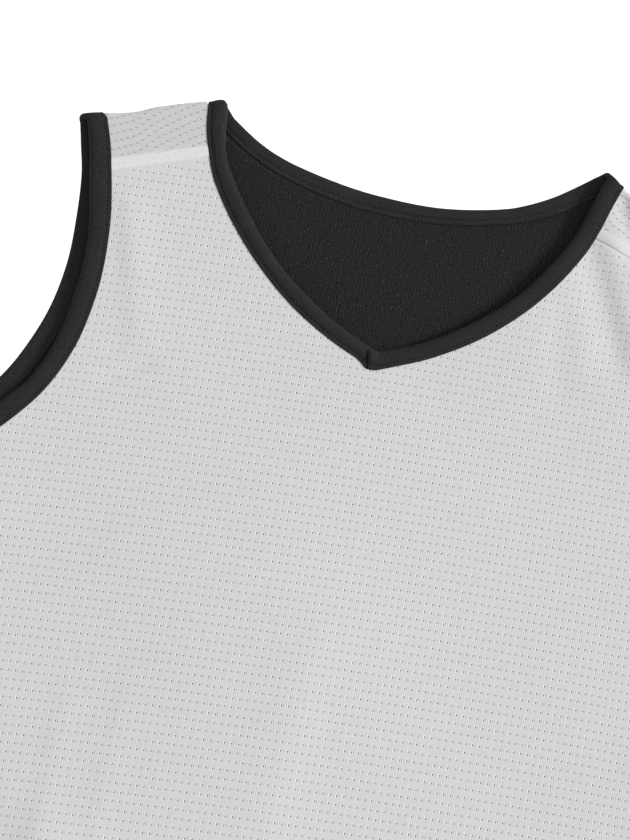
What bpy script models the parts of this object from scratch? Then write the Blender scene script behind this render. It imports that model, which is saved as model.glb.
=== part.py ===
"""Two-ply mesh basketball jersey, laid flat with its front up.

Four plies of mesh knit lie on each other: outer back, back lining, front lining and
outer front. The two back plies come over the shoulders to a seam on the front. A rib
binding closes the neck, and one closes each armhole.

X runs across the jersey, +Y towards the neck and +Z up from the surface it lies on.
Sizes are in millimetres. In the tables x is measured outwards from the centre line and
y upwards from the neck point of the shoulder. The finished meshes are in metres, and
centred on the origin.
"""
from math import cos, exp, hypot, pi, radians, sin

import bmesh
import bpy
from mathutils import Matrix, Vector

METRE = 0.001                    # metres in a millimetre

# Body
LENGTH = 780.0                   # neck point to hem
HALF_CHEST = 280.0               # centre line to side seam
CENTRE_AT_UNDERARM = -325.0      # where the row from the underarm meets the centre line

# Plies
PLY = 1.0                        # one ply of mesh knit
GAP = 0.3                        # clearance between two pieces
STACK = 4 * PLY + 3 * GAP        # four plies lying on each other
OUTER_LEVEL = 0.5 * PLY          # middle of the outer ply, from the outside of the stack
LINING_LEVEL = 1.5 * PLY + GAP   # middle of the lining
BINDING = 2 * PLY + GAP          # thickness of a binding, over both plies
CROWN = 0.4                      # a binding's swell above the front
BINDING_CORNER = 0.7             # rounding of a binding's free edge

# The front lies a little open at the shoulders and flat from the underarms down
LOFT = 3.0
LOFT_FULL_Y = -45.0
LOFT_NONE_Y = -240.0
FOLD_FADE = 0.25                 # share of a fold's length that fades in at each end
SIDE_FADE = (225.0, 268.0)       # folds die out towards the side seams

# The roll over the shoulders and at the side seams
SHOULDER_RADIUS = (STACK + LOFT) / 2
SIDE_RADIUS = STACK / 2
SIDE_AXIS = HALF_CHEST - SIDE_RADIUS
ROLL_STEPS = 8
CURL_TURNS = (30.0, 58.0, 84.0)  # degrees that the outer front curls round to the side seam
LEAN = {-1: radians(17.0), 1: radians(24.0)}   # slope of the left and right shoulder

# Mesh rows and columns
COLUMNS = 12
BACK_COLUMNS = 8
BODY_ROWS = 16
BACK_BODY_ROWS = 6
CHEST_ROWS = 12
BACK_CHEST_ROWS = 8
YOKE_ROWS = 12                   # V point to front seam
BACK_NECK_ROWS = 8               # back neck centre to shoulder fold
STRIP_ROWS = 3                   # front seam to shoulder fold
CHEST_SHARE = 0.5                # share of the front armhole beside the chest rows
BACK_CHEST_SHARE = 0.6
SPLINE_STEPS = 12

# Top of the shoulder fold: x, y on the left strap, y on the right strap
SHOULDER = (
    (100.0, 0.5, 5.5),
    (113.0, -1.8, 1.9),
    (122.0, -4.7, -4.3),
    (140.0, -10.9, -15.0),
    (160.0, -18.0, -25.0),
    (184.0, -22.8, -32.0),
)

# Edges where the panels meet the bindings: x, y, width of the binding there.
# Each runs to the shoulder fold, whose crossing is added by edge_to_fold.
NECK_FRONT = (
    (0.0, -132.3, 9.2),
    (9.0, -128.6, 8.0),
    (28.5, -119.9, 8.0),
    (50.8, -106.0, 8.6),
    (71.6, -88.1, 9.6),
    (88.7, -68.5, 10.4),
    (101.7, -48.4, 10.5),
    (107.6, -34.2, 10.5),
    (112.2, -19.0, 10.4),
)
NECK_SEAM_ROW = 7
NECK_BACK = (
    (0.0, -46.0, 9.9),
    (22.0, -44.9, 9.8),
    (44.0, -41.2, 9.4),
    (66.0, -35.3, 9.2),
    (86.0, -26.3, 9.2),
    (101.0, -16.3, 9.6),
)
ARM_FRONT = (
    (SIDE_AXIS, -244.0, 11.0),
    (250.0, -239.6, 11.0),
    (221.7, -226.6, 11.0),
    (197.5, -209.0, 11.0),
    (179.5, -190.5, 11.2),
    (166.4, -172.0, 11.4),
    (156.8, -149.0, 11.4),
    (152.1, -125.3, 10.6),
    (150.7, -103.0, 10.4),
    (152.5, -76.0, 11.0),
    (157.1, -51.6, 11.0),
    (160.6, -37.0, 11.2),
)
ARM_SEAM_ROW = 10
ARM_BACK = (
    (SIDE_AXIS, -244.0, 11.0),
    (250.0, -236.5, 11.0),
    (222.0, -219.0, 11.0),
    (199.0, -197.0, 11.0),
    (182.4, -175.8, 11.0),
    (171.5, -154.0, 11.0),
    (163.8, -130.5, 11.0),
    (160.0, -104.0, 11.0),
    (160.3, -78.0, 11.0),
    (162.4, -54.0, 11.0),
    (166.4, -36.0, 11.0),
)
# Where each edge crosses the middle of the shoulder roll: left strap, right strap
CROSSING = {
    "neck_front": {-1: 113.0, 1: 117.8},
    "neck_back": {-1: 113.0, 1: 116.8},
    "arm_front": {-1: 165.2, 1: 165.2},
    "arm_back": {-1: 169.3, 1: 169.3},
}
# How far the neck's edges lie off centre to the right
OFF_CENTRE = {"neck_front": 0.9, "neck_back": -0.8, "arm_front": 0.0, "arm_back": 0.0}

# Soft folds of the front: from x, y down to x, y, height (below 0 for a trough), and half
# width to the left and to the right of the crest
FOLDS = (
    (-148.0, -55.0, -122.0, -156.0, 0.5, 5.5, 13.0),
    (98.5, -27.0, 137.0, -119.0, -1.2, 12.0, 7.0),
    (107.5, -23.0, 146.0, -115.0, 0.6, 8.0, 14.0),
    (94.0, -64.0, 101.0, -138.0, -0.4, 8.0, 8.0),
    (-30.0, -110.0, -70.0, -720.0, 2.6, 95.0, 95.0),
    (-3.0, -250.0, -17.0, -400.0, 0.5, 20.0, 13.0),
    (-118.0, -372.0, -134.0, -520.0, 1.6, 18.0, 26.0),
    (-244.0, -266.0, -186.0, -326.0, 1.6, 14.0, 18.0),
    (240.0, -262.0, 176.0, -334.0, 1.8, 18.0, 14.0),
    (92.0, -400.0, 60.0, -590.0, 1.8, 30.0, 22.0),
    (-160.0, -470.0, -196.0, -720.0, 2.2, 24.0, 34.0),
    (198.0, -480.0, 214.0, -730.0, 2.2, 34.0, 26.0),
    (-48.0, -520.0, -70.0, -748.0, 1.8, 26.0, 34.0),
)

# Colours (linear) and roughness
LIGHT_MESH = (0.62, 0.62, 0.63, 1.0)
BLACK_MESH = (0.016, 0.016, 0.017, 1.0)
BLACK_RIB = (0.021, 0.021, 0.022, 1.0)
KNIT_ROUGHNESS = 0.85


def ease(value):
    """Smooth step from 0 to 1."""
    value = min(max(value, 0.0), 1.0)
    return value * value * (3.0 - 2.0 * value)


def fold_height(x, y, fold):
    """Height that one soft fold adds at a point."""
    x0, y0, x1, y1, height, left_width, right_width = fold
    run = Vector((x1 - x0, y1 - y0))
    reach = Vector((x - x0, y - y0))
    share = reach.dot(run) / run.length_squared
    if not 0.0 < share < 1.0:
        return 0.0
    aside = run.cross(reach) / run.length
    across = aside / (right_width if aside > 0.0 else left_width)
    fade = ease(share / FOLD_FADE) * ease((1.0 - share) / FOLD_FADE)
    return height * fade * exp(-across * across)


def lift(x, y):
    """How far the front plies lie above their flat stack at a point."""
    open_neck = LOFT * ease((y - LOFT_NONE_Y) / (LOFT_FULL_Y - LOFT_NONE_Y))
    near, far = SIDE_FADE
    calm = 1.0 - ease((abs(x) - near) / (far - near))
    folds = sum(fold_height(x, y, fold) for fold in FOLDS)
    return max(open_neck + folds * calm, 0.0)


class Station:
    """A place on the cloth: its plan position, and how far it has turned over a fold.

    x is measured outwards on the given side. turn is 0 on the front, pi on the back and
    between them on a roll, which leans towards the plan direction out.
    """

    def __init__(self, x, y, turn=0.0, out=None, height=None, side=1):
        self.x, self.y, self.turn = x, y, turn
        self.out = out or Vector((0.0, 0.0))
        self.height = lift(side * x, y) if height is None else height

    def place(self, level):
        """The point that lies level millimetres inside the stack's outer face."""
        middle = (STACK + self.height) / 2
        radius = middle - level
        reach = radius * sin(self.turn)
        return Vector((self.x + self.out.x * reach, self.y + self.out.y * reach,
                       middle + radius * cos(self.turn)))


def blend(first, second, share):
    """Row of numbers between two rows."""
    return tuple(a + (b - a) * share for a, b in zip(first, second))


def spline_point(before, start, end, after, share):
    """Catmull-Rom point between start and end."""
    def one(a, b, c, d):
        return b + 0.5 * share * (c - a + share * (2 * a - 5 * b + 4 * c - d
                                                   + share * (3 * (b - c) + d - a)))
    return tuple(one(*values) for values in zip(before, start, end, after))


def along(rows, count, first=0, last=None, begin=0.0, end=1.0, trim=0.0):
    """count + 1 evenly spaced rows of the smooth curve through a table's rows.

    The stretch runs from row first to row last, cut to the share begin to end of its
    length, and stops short by trim.
    """
    last = len(rows) - 1 if last is None else last
    fine = []
    for index in range(first, last):
        before, after = rows[max(index - 1, 0)], rows[min(index + 2, len(rows) - 1)]
        fine += [spline_point(before, rows[index], rows[index + 1], after, step / SPLINE_STEPS)
                 for step in range(SPLINE_STEPS)]
    fine.append(rows[last])
    lengths = [0.0]
    for a, b in zip(fine, fine[1:]):
        lengths.append(lengths[-1] + hypot(b[0] - a[0], b[1] - a[1]))
    low, high = begin * lengths[-1], end * lengths[-1] - trim
    picked, index = [], 0
    for step in range(count + 1):
        target = low + (high - low) * step / count
        while index < len(fine) - 2 and lengths[index + 1] < target:
            index += 1
        share = (target - lengths[index]) / (lengths[index + 1] - lengths[index])
        picked.append(blend(fine[index], fine[index + 1], share))
    return picked


def shoulder_y(side, x):
    """Height in plan of the shoulder fold above x."""
    column = 1 if side < 0 else 2
    for low, high in zip(SHOULDER, SHOULDER[1:]):
        if x <= high[0]:
            break
    share = (x - low[0]) / (high[0] - low[0])
    return low[column] + (high[column] - low[column]) * share


def lean_out(side):
    """Plan direction in which a strap rolls over the shoulder, for x measured outwards."""
    return Vector((sin(LEAN[side]), cos(LEAN[side])))


def edge_to_fold(name, side):
    """An edge's table with its crossing of the middle of the shoulder roll added."""
    table = {"neck_front": NECK_FRONT, "neck_back": NECK_BACK,
             "arm_front": ARM_FRONT, "arm_back": ARM_BACK}[name]
    x = CROSSING[name][side]
    out = lean_out(side)
    top_x = x + out.x * SHOULDER_RADIUS
    crossing = (x, shoulder_y(side, top_x) - out.y * SHOULDER_RADIUS, table[-1][2])
    shift = side * OFF_CENTRE[name]
    return tuple((x + shift, y, width) for x, y, width in table) + (crossing,)


def front_edges(side, trim=GAP):
    """Inner and outer edge of half the front, hem to seam, row for row."""
    neck, arm = edge_to_fold("neck_front", side), edge_to_fold("arm_front", side)
    hem, under, vee = (0.0, -LENGTH), (0.0, CENTRE_AT_UNDERARM), neck[0]
    inner = [blend(hem, under, row / BODY_ROWS) for row in range(BODY_ROWS)]
    inner += [blend(under, vee, row / CHEST_ROWS) for row in range(CHEST_ROWS)]
    inner += along(neck, YOKE_ROWS, last=NECK_SEAM_ROW, trim=trim)
    outer = [blend((SIDE_AXIS, -LENGTH), ARM_FRONT[0], row / BODY_ROWS) for row in range(BODY_ROWS)]
    outer += along(arm, CHEST_ROWS, last=ARM_SEAM_ROW, end=CHEST_SHARE)[:-1]
    outer += along(arm, YOKE_ROWS, last=ARM_SEAM_ROW, begin=CHEST_SHARE, trim=trim)
    return inner, outer


def back_edges(side):
    """Inner and outer edge of half the back, hem to the middle of the shoulder roll."""
    neck, arm = edge_to_fold("neck_back", side), edge_to_fold("arm_back", side)
    hem, under, nape = (0.0, -LENGTH), (0.0, CENTRE_AT_UNDERARM), neck[0]
    inner = [blend(hem, under, row / BACK_BODY_ROWS) for row in range(BACK_BODY_ROWS)]
    inner += [blend(under, nape, row / BACK_CHEST_ROWS) for row in range(BACK_CHEST_ROWS)]
    inner += along(neck, BACK_NECK_ROWS)
    outer = [blend((SIDE_AXIS, -LENGTH), ARM_BACK[0], row / BACK_BODY_ROWS)
             for row in range(BACK_BODY_ROWS)]
    outer += along(arm, BACK_CHEST_ROWS, end=BACK_CHEST_SHARE)[:-1]
    outer += along(arm, BACK_NECK_ROWS, begin=BACK_CHEST_SHARE)
    return inner, outer


def strip_edges(side):
    """Inner and outer edge of the back's strip on the front, seam to shoulder roll."""
    neck, arm = edge_to_fold("neck_front", side), edge_to_fold("arm_front", side)
    return (along(neck, STRIP_ROWS, first=NECK_SEAM_ROW),
            along(arm, STRIP_ROWS, first=ARM_SEAM_ROW))


def cross_row(inner, outer, columns, reach=1.0, **kind):
    """Stations from an inner to an outer edge point; reach below 1 stops short."""
    spots = [blend(inner[:2], outer[:2], reach * column / columns) for column in range(columns + 1)]
    return [Station(x, y, **kind) for x, y in spots]


def roll(front, back, side):
    """Stations that turn over the shoulder from a front row to a back row."""
    rows = []
    for step in range(1, ROLL_STEPS):
        share = step / ROLL_STEPS
        rows.append([Station(a.x + (b.x - a.x) * share, a.y + (b.y - a.y) * share,
                             pi * share, lean_out(side), LOFT) for a, b in zip(front, back)])
    return rows


def curl(outer, turns):
    """Rows of stations that curl round the side axis, one for each row of the body."""
    out = Vector((1.0, 0.0))
    return [[Station(x, y, radians(turn), out, 0.0) for turn in turns] for x, y in outer]


def front_grids(side, with_curl):
    """Half of a front ply. A lining stops just inside the side seam."""
    inner, outer = front_edges(side)
    reach = 1.0 if with_curl else 1.0 - GAP / SIDE_AXIS
    rows = []
    for row, (a, b) in enumerate(zip(inner, outer)):
        rows.append(cross_row(a, b, COLUMNS, reach if row < BODY_ROWS else 1.0, side=side))
    grids = [rows]
    if with_curl:
        below = [point[:2] for point in outer[:BODY_ROWS + 1]]
        grids.append(curl(below, (0.0,) + CURL_TURNS))
    return grids


def back_grids(side, with_curl):
    """Half of a back ply, from the hem over the shoulder to the seam on the front."""
    inner, outer = back_edges(side)
    reach = 1.0 if with_curl else 1.0 - GAP / SIDE_AXIS
    rows = []
    for row, (a, b) in enumerate(zip(inner, outer)):
        short = reach if row < BACK_BODY_ROWS else 1.0
        rows.append(cross_row(a, b, BACK_COLUMNS, short, turn=pi, height=LOFT))
    strip = [cross_row(a, b, BACK_COLUMNS, side=side) for a, b in zip(*strip_edges(side))]
    rows += reversed(roll(strip[-1], rows[-1], side))
    rows += reversed(strip)
    grids = [rows]
    if with_curl:
        below = [point[:2] for point in outer[:BACK_BODY_ROWS + 1]]
        turns = [180.0] + [180.0 - turn for turn in CURL_TURNS]
        grids.append(curl(below, turns))
    return grids


def new_object(name, mesh, material):
    """Object in the scene for a finished mesh."""
    obj = bpy.data.objects.new(name, mesh)
    mesh.materials.append(material)
    bpy.context.scene.collection.objects.link(obj)
    return obj


def to_mesh(name, bm):
    """Mesh in metres, its faces turned outwards."""
    bmesh.ops.recalc_face_normals(bm, faces=bm.faces)
    bmesh.ops.scale(bm, vec=(METRE,) * 3, verts=bm.verts)
    mesh = bpy.data.meshes.new(name)
    bm.to_mesh(mesh)
    bm.free()
    return mesh


def make_ply(name, make_grids, level, with_curl, material):
    """One ply of the jersey: both halves of its middle surface, given its thickness."""
    bm = bmesh.new()
    for side in (-1, 1):
        for rows in make_grids(side, with_curl):
            spots = [[station.place(level) for station in row] for row in rows]
            verts = [[bm.verts.new((side * spot.x, spot.y, spot.z)) for spot in row]
                     for row in spots]
            for low, high in zip(verts, verts[1:]):
                for column in range(len(low) - 1):
                    corners = (low[column], low[column + 1], high[column + 1], high[column])
                    bm.faces.new(corners if side > 0 else corners[::-1])
    bmesh.ops.remove_doubles(bm, verts=bm.verts, dist=1e-3)
    obj = new_object(name, to_mesh(name, bm), material)
    thickness = obj.modifiers.new("ply", "SOLIDIFY")
    thickness.thickness = PLY * METRE
    thickness.offset = 0.0
    thickness.use_even_offset = True
    return obj


def free_edge(edge, hand, first_axis=None, last_axis=None):
    """A binding's free edge: its panel edge moved out by its width.

    hand is 1 where the opening lies left of the direction of travel, and -1 where it
    lies right. On a fold's axis the free edge stays on the axis too.
    """
    free = []
    for index, (x, y, width) in enumerate(edge):
        ahead, behind = edge[min(index + 1, len(edge) - 1)], edge[max(index - 1, 0)]
        travel = Vector((ahead[0] - behind[0], ahead[1] - behind[1])).normalized()
        normal = Vector((-travel.y, travel.x)) * hand
        axis = first_axis if index == 0 else last_axis if index == len(edge) - 1 else None
        step = axis * (width / normal.dot(axis)) if axis else normal * width
        free.append((x + step.x, y + step.y))
    return free


def pairs(edge, free, **kind):
    """Stations of a binding's two edges, the panel's first."""
    return [(Station(a[0], a[1], **kind), Station(b[0], b[1], **kind)) for a, b in zip(edge, free)]


def turn_over(front, back, steps, out, height):
    """Pairs of stations that turn over a fold from a front pair to a back pair."""
    turned = []
    for step in range(1, steps):
        share = step / steps
        turned.append(tuple(
            Station(a.x + (b.x - a.x) * share, a.y + (b.y - a.y) * share, pi * share, out, height)
            for a, b in zip(front, back)))
    return turned


def fold_axis(side, hand):
    """Direction along the shoulder fold: hand 1 towards the neck, -1 towards the arm."""
    return Vector((-cos(LEAN[side]), sin(LEAN[side]))) * hand


def neck_half(side):
    """Pairs of stations from the V up the front neck, over the shoulder, to the nape."""
    table = edge_to_fold("neck_front", side)
    front = along(table, YOKE_ROWS, last=NECK_SEAM_ROW)[:-1]
    front += along(table, STRIP_ROWS, first=NECK_SEAM_ROW)
    back = along(edge_to_fold("neck_back", side), BACK_NECK_ROWS)
    up, axis = Vector((0.0, 1.0)), fold_axis(side, 1)
    front_pairs = pairs(front, free_edge(front, 1, up, axis), side=side)
    back_pairs = pairs(back, free_edge(back, 1, up, axis), turn=pi, height=LOFT)
    over = turn_over(front_pairs[-1], back_pairs[-1], ROLL_STEPS, lean_out(side), LOFT)
    return front_pairs + over + back_pairs[::-1]


def arm_ring(side):
    """Pairs of stations up the front armhole, over the shoulder and down the back."""
    table = edge_to_fold("arm_front", side)
    front = along(table, CHEST_ROWS, last=ARM_SEAM_ROW, end=CHEST_SHARE)[:-1]
    front += along(table, YOKE_ROWS, last=ARM_SEAM_ROW, begin=CHEST_SHARE)[:-1]
    front += along(table, STRIP_ROWS, first=ARM_SEAM_ROW)
    table = edge_to_fold("arm_back", side)
    back = along(table, BACK_CHEST_ROWS, end=BACK_CHEST_SHARE)[:-1]
    back += along(table, BACK_NECK_ROWS, begin=BACK_CHEST_SHARE)
    up, axis = Vector((0.0, 1.0)), fold_axis(side, -1)
    front_pairs = pairs(front, free_edge(front, -1, up, axis), side=side)
    back_pairs = pairs(back, free_edge(back, -1, up, axis), turn=pi, height=LOFT)
    over = turn_over(front_pairs[-1], back_pairs[-1], ROLL_STEPS, lean_out(side), LOFT)
    under = turn_over(front_pairs[0], back_pairs[0], ROLL_STEPS, Vector((1.0, 0.0)), 0.0)
    return front_pairs + over + back_pairs[::-1] + under[::-1]


def binding_section(panel_edge, free, side):
    """Cross-section of a binding between its two edges, as points."""
    width = hypot(free.x - panel_edge.x, free.y - panel_edge.y)
    near, corner = GAP / width, BINDING_CORNER / width
    crown = CROWN * max(cos(panel_edge.turn), 0.0)
    profile = (
        (near, BINDING), (1.0 - corner, BINDING), (1.0, BINDING - BINDING_CORNER),
        (1.0, BINDING_CORNER), (1.0 - corner, 0.0), (0.5, -crown), (near, 0.0),
    )
    points = []
    for share, level in profile:
        low, high = panel_edge.place(level), free.place(level)
        spot = low + (high - low) * share
        points.append((side * spot.x, spot.y, spot.z))
    return points


def make_binding(name, sections, material):
    """A closed strip through a ring of cross-sections."""
    bm = bmesh.new()
    rings = [[bm.verts.new(point) for point in section] for section in sections]
    for ring, following in zip(rings, rings[1:] + rings[:1]):
        for index in range(len(ring)):
            after = (index + 1) % len(ring)
            bm.faces.new((ring[index], ring[after], following[after], following[index]))
    obj = new_object(name, to_mesh(name, bm), material)
    obj.data.shade_smooth()
    obj.data.set_sharp_from_angle(angle=radians(50.0))
    return obj


def cloth(name, colour):
    """Plain matt cloth material."""
    material = bpy.data.materials.new(name)
    material.use_nodes = True
    shader = material.node_tree.nodes["Principled BSDF"]
    shader.inputs["Base Color"].default_value = colour
    shader.inputs["Roughness"].default_value = KNIT_ROUGHNESS
    shader.inputs["Metallic"].default_value = 0.0
    return material


def centre(objects):
    """Put the middle of the jersey's plan on the origin."""
    spots = [vertex.co for obj in objects for vertex in obj.data.vertices]
    middle = [(min(spot[axis] for spot in spots) + max(spot[axis] for spot in spots)) / 2
              for axis in (0, 1)]
    for obj in objects:
        obj.data.transform(Matrix.Translation((-middle[0], -middle[1], 0.0)))


def main():
    for obj in list(bpy.data.objects):
        bpy.data.objects.remove(obj, do_unlink=True)
    plies = (
        ("front_panel", front_grids, OUTER_LEVEL, True, "light mesh front", LIGHT_MESH),
        ("back_panel", back_grids, OUTER_LEVEL, True, "light mesh back", LIGHT_MESH),
        ("front_lining", front_grids, LINING_LEVEL, False, "black mesh front", BLACK_MESH),
        ("back_lining", back_grids, LINING_LEVEL, False, "black mesh back", BLACK_MESH),
    )
    objects = [make_ply(name, grids, level, with_curl, cloth(finish, colour))
               for name, grids, level, with_curl, finish, colour in plies]
    right, left = neck_half(1), neck_half(-1)
    sections = [binding_section(*pair, 1) for pair in right]
    sections += [binding_section(*pair, -1) for pair in left[-2:0:-1]]
    objects.append(make_binding("neck_binding", sections, cloth("black rib neck", BLACK_RIB)))
    for word, side in (("left", -1), ("right", 1)):
        sections = [binding_section(*pair, side) for pair in arm_ring(side)]
        rib = cloth("black rib " + word, BLACK_RIB)
        objects.append(make_binding("armhole_binding_" + word, sections, rib))
    centre(objects)


main()
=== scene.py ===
"""Looks of a two-ply mesh basketball jersey, laid flat with its front up.

The outer front and back are a light eyelet mesh, cut as flat patterns with every eyelet
open, and laid where the solids have them. Black linings lie inside, and black rib
bindings close the neck and armholes. Thread is laid along the seams stitch by stitch.

Tables and lengths are in millimetres: x from the centre line, y upwards from the neck
point of the shoulder, and levels down from the outside of the stack of plies.
"""
from functools import partial
from math import cos, pi, radians, sin

import bpy
import numpy as np
from mathutils import Matrix, Vector
from mathutils.geometry import delaunay_2d_cdt


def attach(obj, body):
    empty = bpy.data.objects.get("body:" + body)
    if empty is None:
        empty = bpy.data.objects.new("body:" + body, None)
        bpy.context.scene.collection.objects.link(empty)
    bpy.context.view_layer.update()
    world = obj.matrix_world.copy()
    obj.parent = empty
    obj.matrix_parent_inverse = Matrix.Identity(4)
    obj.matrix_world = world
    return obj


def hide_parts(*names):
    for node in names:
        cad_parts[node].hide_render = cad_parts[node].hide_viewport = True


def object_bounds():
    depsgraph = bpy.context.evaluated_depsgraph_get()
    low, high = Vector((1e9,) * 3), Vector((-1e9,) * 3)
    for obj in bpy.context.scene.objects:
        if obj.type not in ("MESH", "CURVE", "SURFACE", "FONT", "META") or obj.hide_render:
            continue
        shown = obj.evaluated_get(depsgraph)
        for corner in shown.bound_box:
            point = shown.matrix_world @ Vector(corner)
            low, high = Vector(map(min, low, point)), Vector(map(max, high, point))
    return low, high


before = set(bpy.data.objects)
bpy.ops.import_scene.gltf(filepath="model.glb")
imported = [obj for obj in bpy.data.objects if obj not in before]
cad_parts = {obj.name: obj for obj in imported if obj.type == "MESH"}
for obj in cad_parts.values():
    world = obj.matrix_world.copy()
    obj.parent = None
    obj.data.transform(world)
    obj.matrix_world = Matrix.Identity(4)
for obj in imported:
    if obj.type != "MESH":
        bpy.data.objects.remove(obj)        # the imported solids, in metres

CAD_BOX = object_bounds()
METRE = 0.001                    # metres in a millimetre

# Body
LENGTH = 780.0
HALF_CHEST = 280.0
PLY = 1.0
GAP = 0.3
STACK = 4 * PLY + 3 * GAP
OUTER_LEVEL = 0.3
LINING_LEVEL = 1.8
LINING_THICKNESS = 0.3
LOFT = 3.0                       # how far the front lies open at the shoulders
LOFT_FULL_Y = -45.0
LOFT_NONE_Y = -240.0
FOLD_FADE = 0.25
SIDE_FADE = (225.0, 268.0)
SHOULDER_RADIUS = (STACK + LOFT) / 2
SIDE_RADIUS = STACK / 2
SIDE_AXIS = HALF_CHEST - SIDE_RADIUS
LEAN = {-1: radians(17.0), 1: radians(24.0)}
Y_SHIFT = CAD_BOX[0].y / METRE + LENGTH

# Hem, seams and bindings
HEM_RADIUS = 0.25                # of the turned-up edge
HEM_TURN_UP = 22.0
HEM_NEEDLES = (19.0, 15.0)       # two rows of stitches above the edge
SEAM_BAND = 6.4                  # smooth band over the seam allowance of the shoulders
SEAM_SHOW = {-1: 1.0, 1: 0.3}    # how clearly the allowance shows through on each strap
SEAM_DROP = {-1: 0.0, 1: 4.2}    # the straps' seams don't sit quite alike
SEAM_DIP = {-1: 0.12, 1: 0.32}   # how deep the seam's line is drawn in, and half its width
SEAM_DIP_WIDTH = 0.32
BAND_RISE = 0.3                  # the seam's allowance lifts the band above it
BAND_SLOPES = (1.5, 1.2)         # length over which it rises from the seam, and falls
SLOT_DEPTH = 0.9                 # how far a ply reaches into its binding
TUCK = 1.15                      # level of the middle of a binding

# Knit
COLUMN = 3.6                     # pitch of the eyelets across
ROW = 4.5                        # and up
ROW_TILT = 0.0274                # the front's rows climb to the right and bow a little
ROW_BOW = -0.000128
STRIP_EASE = 1.1                 # the straps are eased in over the shoulder
# Where a strap's fold sags, or stands up below 0: middle along it from the neck, half
# width, depth
FOLD_SAG = {
    -1: ((13.0, 15.0, -0.5), (40.0, 7.0, 1.3), (49.0, 5.0, 0.5)),
    1: ((5.0, 9.0, 3.2),),
}
# Corners of an eyelet from its middle: x, y
EYELET = ((0.14, 0.66), (-0.23, 0.12), (-0.16, -0.66), (0.21, -0.12))

# Top of the shoulder fold: x, y on the left strap, y on the right strap
SHOULDER = (
    (100.0, 0.5, 5.5),
    (113.0, -1.8, 1.9),
    (122.0, -4.7, -4.3),
    (140.0, -10.9, -15.0),
    (160.0, -18.0, -25.0),
    (184.0, -22.8, -32.0),
)

# Edges where the plies meet the bindings: x, y, width of the binding there
NECK_FRONT = (
    (0.0, -132.3, 9.2),
    (9.0, -128.6, 8.0),
    (28.5, -119.9, 8.0),
    (50.8, -106.0, 8.6),
    (71.6, -88.1, 9.6),
    (88.7, -68.5, 10.4),
    (101.7, -48.4, 10.5),
    (107.6, -34.2, 10.5),
    (112.2, -19.0, 10.4),
)
NECK_SEAM_ROW = 7
NECK_BACK = (
    (0.0, -46.0, 9.9),
    (22.0, -44.9, 9.8),
    (44.0, -41.2, 9.4),
    (66.0, -35.3, 9.2),
    (86.0, -26.3, 9.2),
    (101.0, -16.3, 9.6),
)
ARM_FRONT = (
    (SIDE_AXIS, -244.0, 11.0),
    (250.0, -239.6, 11.0),
    (221.7, -226.6, 11.0),
    (197.5, -209.0, 11.0),
    (179.5, -190.5, 11.2),
    (166.4, -172.0, 11.4),
    (156.8, -149.0, 11.4),
    (152.1, -125.3, 10.6),
    (150.7, -103.0, 10.4),
    (152.5, -76.0, 11.0),
    (157.1, -51.6, 11.0),
    (160.6, -37.0, 11.2),
)
ARM_SEAM_ROW = 10
ARM_BACK = (
    (SIDE_AXIS, -244.0, 11.0),
    (250.0, -236.5, 11.0),
    (222.0, -219.0, 11.0),
    (199.0, -197.0, 11.0),
    (182.4, -175.8, 11.0),
    (171.5, -154.0, 11.0),
    (163.8, -130.5, 11.0),
    (160.0, -104.0, 11.0),
    (160.3, -78.0, 11.0),
    (162.4, -54.0, 11.0),
    (166.4, -36.0, 11.0),
)
# For each edge: its table, where it crosses the middle of the shoulder roll on the left and
# on the right strap, and how far it lies off centre to the right
EDGES = {
    "neck_front": (NECK_FRONT, {-1: 113.0, 1: 117.8}, 0.9),
    "neck_back": (NECK_BACK, {-1: 113.0, 1: 116.8}, -0.8),
    "arm_front": (ARM_FRONT, {-1: 165.2, 1: 165.2}, 0.0),
    "arm_back": (ARM_BACK, {-1: 169.3, 1: 169.3}, 0.0),
}
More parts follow.
